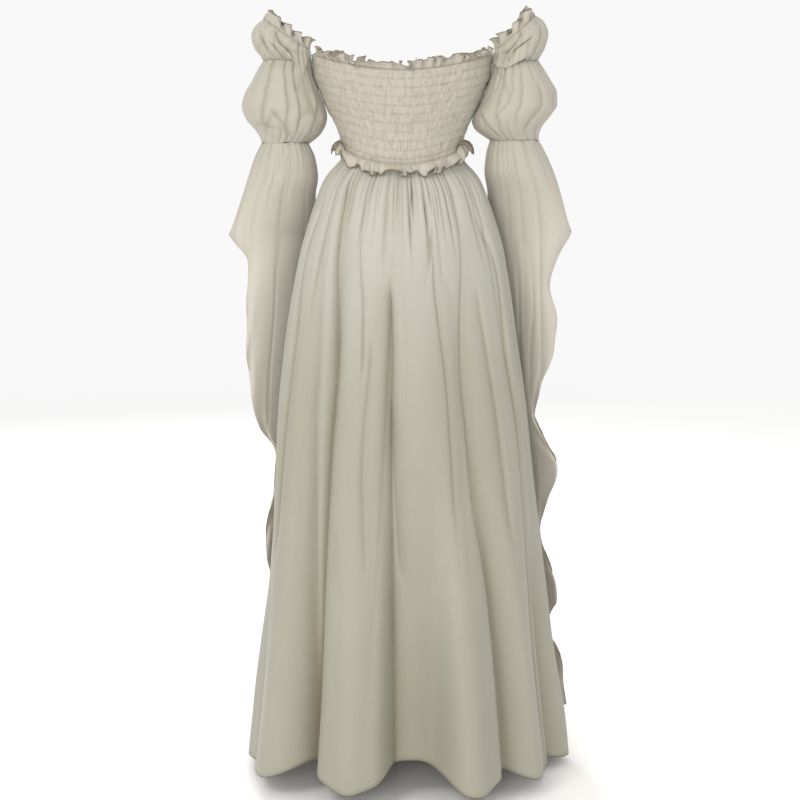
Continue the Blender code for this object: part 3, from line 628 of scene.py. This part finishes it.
def tier_folds(turn, from_top, from_foot, seed, middle):
    """Gathers that leave the elastics at both ends of a tier, a few panels' edges that run right
    through it, and facets between. Returns the swell of the cloth and how deep in a fold it is."""
    part, size = turn / (2 * pi), gown_sizes().sleeve_fold
    count = gown_sizes().fine_gathers
    top, top_line = loose_folds(part, from_top, seed, count, *TIER_FOLDS)
    foot, foot_line = loose_folds(part, from_foot, seed + 1, count, *TIER_FOLDS)
    share = from_top / (from_top + from_foot)
    facets, facet_line = crumple(part * 11, share * 1.7, seed + 2, 11)
    swell = size * (0.25 - top - foot) + 1.15 * size * middle * (facets - 0.75)
    # Painted shade: the crease mask follows the gathers' lines, and the facets' valleys in the tier's
    # middle.
    crease = 0.06 + 0.65 * top_line + 0.65 * foot_line + 0.40 * facet_line * middle
    return swell, crease


def tier_creases(table, turn, share, middle):
    """The table's creases on a tier, full in its middle and shallow at its elastics."""
    placed, line = placed_creases(table, np.degrees(turn) % 360, share, 0.06, False)
    return placed * (0.35 + 0.65 * middle), line


def cap_at(side, turn, share):
    """The cap's arm rings from the first elastic up to the slanted rim, with folds from both. A pouch
    of cloth hangs over the elastic: a bell across the turn, moved down and out."""
    rim = (RIM_LOW + RIM_HIGH[side]) / 2 + (RIM_HIGH[side] - RIM_LOW) / 2 * np.cos(turn)
    height = rim - BAND_1_Z - SEAM_GAP / 2
    z = BAND_1_Z + SEAM_GAP / 2 + height * share + elastic_wave(turn, side, 1) * (1 - share) ** 2
    middle = np.sin(pi * (0.08 + 0.84 * share))
    swell, crease = tier_folds(turn, height * (1 - share) + 0.01, height * share,
                               seed_of("cap", side), middle)
    placed, line = tier_creases(CAP_CREASES[side], turn, share, middle)
    middle_turn, width, lower, out = CAP_POUCH[side]
    pouch = np.exp(-((((np.degrees(turn) - middle_turn + 180) % 360 - 180) / width) ** 2))
    pouch = pouch * np.sin(pi * np.clip(share / 0.42, 0, 1)) ** 2
    x, y = arm_ring(CAP[side], turn, share, swell - placed + out * pouch)
    x = x - CAP_TIP[side] * share**8 * np.clip(np.cos(turn), 0, 1)
    # Painted shade: the placed creases' lines add to the crease mask.
    return np.stack([beside_bodice(x, y, z), y, z - lower * pouch], -1), crease + 0.7 * line


def cap_ruffle_at(side, turn, share):
    """A ruffle on the cap's rim that swings in over the arm and out."""
    span = radians(CAP_RUFFLE_SPAN)
    seed = seed_of("cap_ruffle", side)
    across = (turn / span + 1) / 2
    phase = 2 * pi * CAP_RUFFLE[1] * across + 2.8 * swings(across, 8, seed)
    uneven = 1 + 0.45 * swings(across, 11, seed + 1)
    foot = cap_at(side, turn, np.ones_like(share))[0] + (0, 0, SEAM_GAP)
    lean = -24 - 38 * np.exp(-((turn / 0.8) ** 2)) + 16 * swings(across, 7, seed + 2)
    return ruffle_at(foot, outwards(turn), outwards(turn + pi / 2), share, 1.1 * CAP_RUFFLE[0], phase, lean,
                     36 - 18 * np.exp(-((turn / 0.8) ** 2)), 0.0042, uneven)


def puff_at(side, turn, share):
    """The puff's arm rings between the two elastics, with folds that run in from both."""
    top, foot = BAND_1_Z - SEAM_GAP / 2, BAND_2_Z[side] + SEAM_GAP / 2
    z = (top + (foot - top) * share + elastic_wave(turn, side, 1) * (1 - share) ** 4
         + elastic_wave(turn, side, 2) * share**4)
    middle = np.sin(pi * (0.06 + 0.88 * share))
    swell, crease = tier_folds(turn, (top - foot) * share, (top - foot) * (1 - share),
                               seed_of("puff", side), middle)
    placed, line = tier_creases(PUFF_CREASES[side], turn, share, middle)
    x, y = arm_ring(PUFF[side], turn, share, swell - placed)
    # Painted shade: the placed creases' lines add to the crease mask.
    return np.stack([beside_bodice(x, y, z), y, z], -1), crease + 0.7 * line


def trumpet_at(side, string, share):
    """The trumpet tier. A string runs from the elastic to the slanted hem, and its number goes
    -1..1 round the tube from the short outer corner over the long inner string and back. At each
    height the strings that are left lie on a sheared ellipse, open outwards below the corner. Loose
    folds scale the slice about its middle; they hang from places on the uncut width, so they fall
    straight and the slanted hem cuts across them."""
    rows = TRUMPET[side]
    top, tip = rows[0][0] - SEAM_GAP / 2, rows[-1][0]
    short, long = top - CORNER_Z[side], top - tip
    drop = (short + (long - short) * (1 - np.abs(string))) * share
    z = top - drop
    left = np.clip(1 - (drop - short) / (long - short), 0.02, 1)
    half = np.radians(along(rows, 6, z))
    angle = half * np.clip(string / left, -1, 1)
    k = (1 - np.cos(angle)) / (1 - np.cos(half))
    inner_x, inner_y, outer_x, outer_y, thick = (along(rows, column, z) for column in (1, 2, 3, 4, 5))
    x = inner_x + (outer_x - inner_x) * k
    y = inner_y + (outer_y - inner_y) * k - thick * np.sin(angle)
    middle_x, middle_y = (inner_x + outer_x) / 2, (inner_y + outer_y) / 2
    seed = seed_of("trumpet", side)
    at_corner = along(rows, 3, np.maximum(z, CORNER_Z[side]))
    uncut = np.maximum(outer_x, at_corner - 0.01 * eased(drop, short, long))
    place = (x - inner_x) / (uncut - inner_x) * 0.5
    place = np.where(angle > 0, 1 - place, place)
    size = gown_sizes().sleeve_fold
    count = gown_sizes().fine_gathers
    fine, fine_line = loose_folds(place, drop, seed, count + TRUMPET_MORE_GATHERS, *TRUMPET_FINE_FOLDS)
    long_folds, long_line = loose_folds(place, drop, seed + 1, *TRUMPET_LONG_FOLDS)
    facets, facet_line = crumple(place * 10, drop * 3.1, seed + 2, 10)
    rise = 0.9 * size * (0.4 - fine) + 1.2 * size * eased(drop, 0.01, 0.12) * (0.3 - long_folds)
    rise = rise + 0.7 * size * eased(drop, 0.05, 0.2) * (facets - 0.6)
    reach = np.hypot(x - middle_x, y - middle_y) + 1e-6
    flutter = np.exp(-(1 - share) * (short + (long - short) * (1 - np.abs(string))) / FLUTTER_REACH)
    swing = 3 * soft_noise(place * 7, 0 * place, seed + 3, 7)
    flutter = flutter * np.sin(2 * pi * 9 * np.abs(string) + swing)
    rise = rise + HEM_FLUTTER * flutter * (1 - np.abs(string) ** 4)
    grow = 1 + np.clip(rise / np.maximum(reach, 0.012), -0.3, 0.3)
    x_grow = 1 + (grow - 1) * 0.5
    corner = CORNER_POINT * np.exp(-np.abs(drop - short) / CORNER_REACH) * eased(np.abs(string), 0.86, 1.0)
    z = z + elastic_wave(pi * string, side, 2) * np.exp(-drop / 0.02)
    point = np.stack([middle_x + (x - middle_x) * x_grow + corner, middle_y + (y - middle_y) * grow, z], -1)
    # Painted shade: the crease mask follows the gathers' and long folds' lines and the facets' valleys.
    crease = 0.06 + 0.60 * fine_line + 0.40 * long_line + 0.14 * facet_line * eased(drop, 0.05, 0.2)
    return point, crease


def edge_distance(points, edge):
    """Each grid point's distance from the nearest of the free edge's points."""
    flat = points.reshape(-1, 3)
    nearest = np.full(len(flat), 1.0)
    for part in np.array_split(edge, max(1, len(edge) // 200)):
        gaps = ((flat[:, None, :] - part[None]) ** 2).sum(-1)
        nearest = np.minimum(nearest, np.sqrt(gaps.min(1)))
    return nearest


def cloth_piece(name, form, u, v, ring, flip, finish, hem_rows=(-1,)):
    """A mesh of the form over the grid u by v, closed round where ring is set, with a UV map in metres
    (round and down) and two attributes: crease, how deep in a fold, which sets the painted shade of
    folds, and edge, metres from a free edge."""
    across, down = np.meshgrid(u, v)
    points, crease = form(across, down)
    rows, columns = across.shape
    number = np.arange(rows * columns).reshape(rows, columns)
    right = np.roll(number, -1, 1) if ring else number[:, 1:]
    here = number if ring else number[:, :-1]
    quads = np.stack([here[:-1], right[:-1], right[1:], here[1:]], -1).reshape(-1, 4)
    if flip:
        quads = quads[:, ::-1]
    mesh = bpy.data.meshes.new(name)
    mesh.from_pydata(points.reshape(-1, 3), [], quads.tolist())
    mesh.update()
    step_u = np.linalg.norm(np.diff(points, axis=1, append=points[:, :1]), axis=-1).mean(0)
    step_v = np.linalg.norm(np.diff(points, axis=0, append=points[-1:]), axis=-1)
    round_m = np.concatenate([[0], np.cumsum(step_u)])
    down_m = np.concatenate([np.zeros((1, columns)), np.cumsum(step_v, 0)[:-1]])
    column_of = np.tile(np.arange(columns), rows)
    corner = quads.reshape(-1)
    corner_column = column_of[corner]
    if ring:
        first_of_face = corner_column.reshape(-1, 4)
        wraps = (first_of_face.max(1) == columns - 1) & (first_of_face.min(1) == 0)
        first_of_face = np.where(wraps[:, None] & (first_of_face == 0), columns, first_of_face)
        corner_column = first_of_face.reshape(-1)
    uv = np.stack([round_m[corner_column], down_m.reshape(-1)[corner]], -1)
    mesh.uv_layers.new(name="UVMap").data.foreach_set("uv", uv.astype(np.float32).ravel())
    edge = np.full(rows * columns, 1.0)
    for row in hem_rows:
        edge = np.minimum(edge, edge_distance(points, points[row]))
    for label, values in (("crease", np.clip(crease, 0, 1)), ("edge", edge)):
        mesh.attributes.new(label, "FLOAT", "POINT").data.foreach_set(
            "value", values.astype(np.float32).ravel())
    mesh.polygons.foreach_set("use_smooth", np.ones(len(quads), bool))
    mesh.materials.append(finish)
    piece = bpy.data.objects.new(name, mesh)
    bpy.context.scene.collection.objects.link(piece)
    wall = piece.modifiers.new("Cloth thickness", "SOLIDIFY")
    wall.thickness = gown_sizes().cloth
    wall.offset = 0
    return piece


def sewn(cad_node, grid, form, u, finish,
         ring=False, flip=False, hem_rows=(-1,), power=1):
    """The rows run 0..1, closer together at the top where the power is over 1."""
    piece = cloth_piece(f"{cad_node}_cloth", form, u, np.linspace(0, 1, GRIDS[grid][1]) ** power, ring,
                        flip, finish, hem_rows)
    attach(piece, "root")
    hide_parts(cad_node)


def ivory_cotton(name, fold_shade_strength=1.0, tone="cotton", lower_painted_light_tone="cotton"):
    """Plain-woven cotton, unbleached and matt: dull, with a faint fuzz. Painted shade darkens and warms it
    where folds deepen, and its tone turns into a lower one down the body as painted light: darker down
    the skirt, paler down the sleeves.

    The weave's threads lie 0.4 mm apart, too fine to show, so the cloth carries slubs 1.5 mm wide
    and 20 to 40 mm long both ways, as uneven threads do, and edges overlocked in darker thread; the
    dark line along free edges is partly that thread and partly painted shade."""
    made = bpy.data.materials.get(name)
    if made:
        return made
    colours, sizes = bpy.context.scene.gown_colours, gown_sizes()
    made = bpy.data.materials.new(name)
    made.use_nodes = True
    tree = made.node_tree
    shader = tree.nodes["Principled BSDF"]
    place = node(tree, "TexCoord")
    weft = node(tree, "Mapping", {"Scale": WEFT_SLUBS}, {"Vector": place.outputs["UV"]})
    warp = node(tree, "Mapping", {"Scale": WARP_SLUBS}, {"Vector": place.outputs["UV"]})
    weft_slub = node(tree, "TexNoise", {"Scale": 1, "Detail": 2}, {"Vector": weft.outputs[0]})
    warp_slub = node(tree, "TexNoise", {"Scale": 1, "Detail": 2}, {"Vector": warp.outputs[0]})
    slubs = node(tree, "Math", operation="ADD",
                 links={0: weft_slub.outputs["Fac"], 1: warp_slub.outputs["Fac"]})
    cloud = node(tree, "TexNoise", {"Scale": 5, "Detail": 3}, {"Vector": place.outputs["Object"]})
    # Painted shade: the crease attribute mixes in the fold colour, darker and warmer where folds deepen.
    deep = node(tree, "Attribute", attribute_name="crease")
    depth = node(tree, "Math", {1: 0.8 * fold_shade_strength}, {0: deep.outputs["Fac"]},
                 operation="MULTIPLY", use_clamp=True)
    height = node(tree, "SeparateXYZ", links={0: place.outputs["Object"]})
    # Painted light: the tone turns into the lower one down the body, darker down the skirt as painted shade
    # and paler down the sleeves.
    starts, ends = SLEEVE_LIGHT_Z if lower_painted_light_tone == "lit_low_sleeve" else SKIRT_SHADE_Z
    low = ranged(tree, height.outputs["Z"], starts, ends, interpolation_type="SMOOTHSTEP")
    plain = node(tree, "Mix", data_type="RGBA", links={0: low.outputs[0]},
                 values={6: linear(getattr(colours, tone)), 7: linear(getattr(colours, lower_painted_light_tone))})
    fold_shaded = node(tree, "Mix", {7: linear(colours.fold)},
                  {0: depth.outputs[0], 6: plain.outputs[2]}, data_type="RGBA")
    shade = ranged(tree, cloud.outputs["Fac"], 0.3, 0.7, 0.965, 1.02)
    grain = ranged(tree, slubs.outputs[0], 0.6, 1.4, 0.98, 1.015)
    both = node(tree, "Math", operation="MULTIPLY",
                links={0: shade.outputs[0], 1: grain.outputs[0]})
    toned = node(tree, "VectorMath", operation="SCALE",
                 links={0: fold_shaded.outputs[2], "Scale": both.outputs[0]})
    # Overlocked thread along free edges, partly painted shade there.
    edge = node(tree, "Attribute", attribute_name="edge")
    hem = ranged(tree, edge.outputs["Fac"], 0.6 * sizes.rolled_hem, sizes.rolled_hem, 0.85, 0.0)
    thread_and_edge_shade = node(tree, "Mix", {7: linear(colours.thread)},
                    {0: hem.outputs[0], 6: toned.outputs[0]}, data_type="RGBA")
    bump = node(tree, "Bump", {"Strength": 0.25, "Distance": SLUB_RELIEF},
                {"Height": slubs.outputs[0]})
    tree.links.new(thread_and_edge_shade.outputs[2], shader.inputs["Base Color"])
    tree.links.new(bump.outputs[0], shader.inputs["Normal"])
    shader.inputs["Roughness"].default_value = COTTON_ROUGHNESS
    shader.inputs["Sheen Weight"].default_value = FUZZ
    shader.inputs["Sheen Roughness"].default_value = FUZZ_ROUGHNESS
    return made


def sleeve_cotton():
    """The sleeves' cloth, paler below the elbow as painted light against the shade the skirt casts on the
    trumpets.
    """
    return ivory_cotton("Ivory cotton, sleeve", 1.0, "sleeve", "lit_low_sleeve")


def half_span(half, grid, span=(0.0, 180.0)):
    """Azimuths across the back, half 0, or the front, half 1. The halves meet at the side seams."""
    return half * pi + np.linspace(radians(span[0]), radians(span[1]), GRIDS[grid][0])


def whole_turns(grid):
    """Turns evenly round the arm, from its outer side."""
    return np.arange(GRIDS[grid][0]) * 2 * pi / GRIDS[grid][0]


def on_side(form, side):
    """A sleeve's form on its own side: the right one's x is negated."""
    def made(u, v):
        points, crease = form(side, u, v)
        return points * (1.0 if side == "left" else -1.0, 1.0, 1.0), crease
    return made


class GOWN_OT_bodice(bpy.types.Operator):
    """Builds the shirred back and the plain front of the bodice"""

    bl_idname = "gown.bodice"
    bl_label = "Bodice"

    def execute(self, context):
        sewn("bodice_back", "bodice_back", bodice_back_at, half_span(0, "bodice_back"),
             ivory_cotton("Ivory cotton, shirred", 1.0),
             hem_rows=())
        sewn("bodice_front", "bodice_front", bodice_front_at, half_span(1, "bodice_front"),
             ivory_cotton("Ivory cotton, flat", 0.5),
             hem_rows=())
        return {"FINISHED"}


class GOWN_OT_skirt(bpy.types.Operator):
    """Builds the two gathered panels of the skirt"""

    bl_idname = "gown.skirt"
    bl_label = "Skirt"

    def execute(self, context):
        for half, end in enumerate(("back", "front")):
            panel = f"skirt_{end}"
            sewn(panel, panel, skirt_at, half_span(half, panel),
                 ivory_cotton("Ivory cotton, skirt", 1.0, "skirt", "shaded_low_skirt"),
                 flip=True, power=SKIRT_ROW_POWER)
        return {"FINISHED"}


class GOWN_OT_body_ruffles(bpy.types.Operator):
    """Builds the ruffles above the top elastic and below the last one"""

    bl_idname = "gown.body_ruffles"
    bl_label = "Neck and waist ruffles"

    def execute(self, context):
        finish = ivory_cotton("Ivory cotton, ruffle", 1.15)
        for half, end in enumerate(("back", "front")):
            sewn(f"neck_ruffle_{end}", "neck_ruffle", neck_ruffle_at,
                 half_span(half, "neck_ruffle", NECK_RUFFLE_SPAN), finish)
            sewn(f"waist_ruffle_{end}", "waist_ruffle", waist_ruffle_at, half_span(half, "waist_ruffle"),
                 finish, flip=True)
        return {"FINISHED"}


class GOWN_OT_sleeve_caps(bpy.types.Operator):
    """Builds the top tier of each sleeve and the ruffle on its rim"""

    bl_idname = "gown.sleeve_caps"
    bl_label = "Sleeve caps"

    def execute(self, context):
        for side in ("left", "right"):
            turned = side == "right"
            sewn(f"sleeve_cap_{side}", "sleeve_cap", on_side(cap_at, side), whole_turns("sleeve_cap"),
                 sleeve_cotton(), ring=True,
                 flip=turned, hem_rows=())
            span = radians(CAP_RUFFLE_SPAN)
            sewn(f"cap_ruffle_{side}", "cap_ruffle", on_side(cap_ruffle_at, side),
                 np.linspace(-span, span, GRIDS["cap_ruffle"][0]),
                 ivory_cotton("Ivory cotton, ruffle", 1.15),
                 flip=turned)
        return {"FINISHED"}


class GOWN_OT_puffs(bpy.types.Operator):
    """Builds the puffed second tier of each sleeve"""

    bl_idname = "gown.puffs"
    bl_label = "Sleeve puffs"

    def execute(self, context):
        for side in ("left", "right"):
            sewn(f"sleeve_puff_{side}", "sleeve_puff", on_side(puff_at, side), whole_turns("sleeve_puff"),
                 sleeve_cotton(), ring=True,
                 flip=side == "left", hem_rows=())
        return {"FINISHED"}


class GOWN_OT_trumpets(bpy.types.Operator):
    """Builds the long third tier of each sleeve"""

    bl_idname = "gown.trumpets"
    bl_label = "Sleeve trumpets"

    def execute(self, context):
        columns = GRIDS["sleeve_trumpet"][0]
        for side in ("left", "right"):
            sewn(f"sleeve_trumpet_{side}", "sleeve_trumpet", on_side(trumpet_at, side),
                 -1 + np.arange(columns) / (columns / 2), sleeve_cotton(),
                 ring=True,
                 flip=side == "left")
        return {"FINISHED"}


class GOWN_OT_studio(bpy.types.Operator):
    """Builds the pale floor, the soft lights and the camera"""

    bl_idname = "gown.studio"
    bl_label = "Studio"

    def execute(self, context):
        scene, colours = context.scene, context.scene.gown_colours
        floor_z = HEM_Z + HEM_SIDE_RISE - FLOOR_CLEARANCE
        bpy.ops.mesh.primitive_circle_add(vertices=96, radius=FLOOR_RADIUS, fill_type="NGON",
                                          location=(0, 0, floor_z))
        floor = context.object
        floor.name = "studio_floor"
        finish = bpy.data.materials.new("Painted studio floor")
        finish.use_nodes = True
        tree = finish.node_tree
        paint = tree.nodes["Principled BSDF"]
        paint.inputs["Base Color"].default_value = linear(colours.floor)
        paint.inputs["Roughness"].default_value = 0.9
        place = node(tree, "TexCoord")
        away = node(tree, "VectorMath", operation="LENGTH", links={0: place.outputs["Object"]})
        turned = ranged(tree, away.outputs["Value"], SWEEP_START, SWEEP_END,
                        interpolation_type="SMOOTHSTEP")
        wall = node(tree, "Emission", {"Color": linear(colours.walls), "Strength": WORLD_LIGHT})
        sweep = node(tree, "MixShader", links={0: turned.outputs[0], 1: paint.outputs[0],
                                                         2: wall.outputs[0]})
        tree.links.new(sweep.outputs[0], tree.nodes["Material Output"].inputs["Surface"])
        floor.data.materials.append(finish)
        for name, place, aim, size, watts, hue in LIGHTS:
            light = bpy.data.lights.new(name, "AREA")
            light.shape, light.size, light.energy, light.color = "DISK", size, watts, hue
            lamp = bpy.data.objects.new(name, light)
            lamp.location = place
            lamp.rotation_euler = (Vector(aim) - Vector(place)).to_track_quat("-Z", "Y").to_euler()
            scene.collection.objects.link(lamp)
        world = bpy.data.worlds.new("Studio walls")
        world.use_nodes = True
        sky = world.node_tree
        look = node(sky, "TexCoord")
        height = node(sky, "SeparateXYZ", links={0: look.outputs["Generated"]})
        rise = ranged(sky, height.outputs["Z"], 0.0, 1.0, WORLD_LIGHT, WORLD_LIGHT * ZENITH_LIGHT)
        lit = sky.nodes["Background"]
        lit.inputs["Color"].default_value = linear(colours.walls)
        sky.links.new(rise.outputs[0], lit.inputs["Strength"])
        scene.world = world
        scene.view_settings.view_transform = "Standard"
        camera = bpy.data.objects.new("Camera", bpy.data.cameras.new("Camera"))
        camera.data.sensor_width = SENSOR_MM
        camera.data.lens = FOCAL_PIXELS * SENSOR_MM / FRAME_PIXELS
        camera.location = CAMERA_PLACE
        camera.rotation_euler = (radians(90) - CAMERA_DIP, 0, pi)
        scene.collection.objects.link(camera)
        scene.camera = camera
        return {"FINISHED"}


class GOWN_PT_panel(bpy.types.Panel):
    """Lists the gown's sizes, colours and steps"""

    bl_label = "Gown"
    bl_idname = "GOWN_PT_panel"
    bl_space_type = "VIEW_3D"
    bl_region_type = "UI"
    bl_category = "Gown"

    def draw(self, context):
        for group in (context.scene.gown_sizes, context.scene.gown_colours):
            for name in group.__annotations__:
                self.layout.prop(group, name)
        for step in STEPS:
            self.layout.operator(step.bl_idname)


STEPS = (GOWN_OT_bodice, GOWN_OT_skirt, GOWN_OT_body_ruffles, GOWN_OT_sleeve_caps, GOWN_OT_puffs,
         GOWN_OT_trumpets, GOWN_OT_studio)
CLASSES = (GownSizes, GownColours, *STEPS, GOWN_PT_panel)


def register():
    for made in CLASSES:
        bpy.utils.register_class(made)
    bpy.types.Scene.gown_sizes = PointerProperty(type=GownSizes)
    bpy.types.Scene.gown_colours = PointerProperty(type=GownColours)


def unregister():
    del bpy.types.Scene.gown_sizes, bpy.types.Scene.gown_colours
    for made in reversed(CLASSES):
        bpy.utils.unregister_class(made)


def main():
    register()
    for step in STEPS:
        family, name = step.bl_idname.split(".")
        getattr(getattr(bpy.ops, family), name)()


if __name__ == "__main__":
    main()
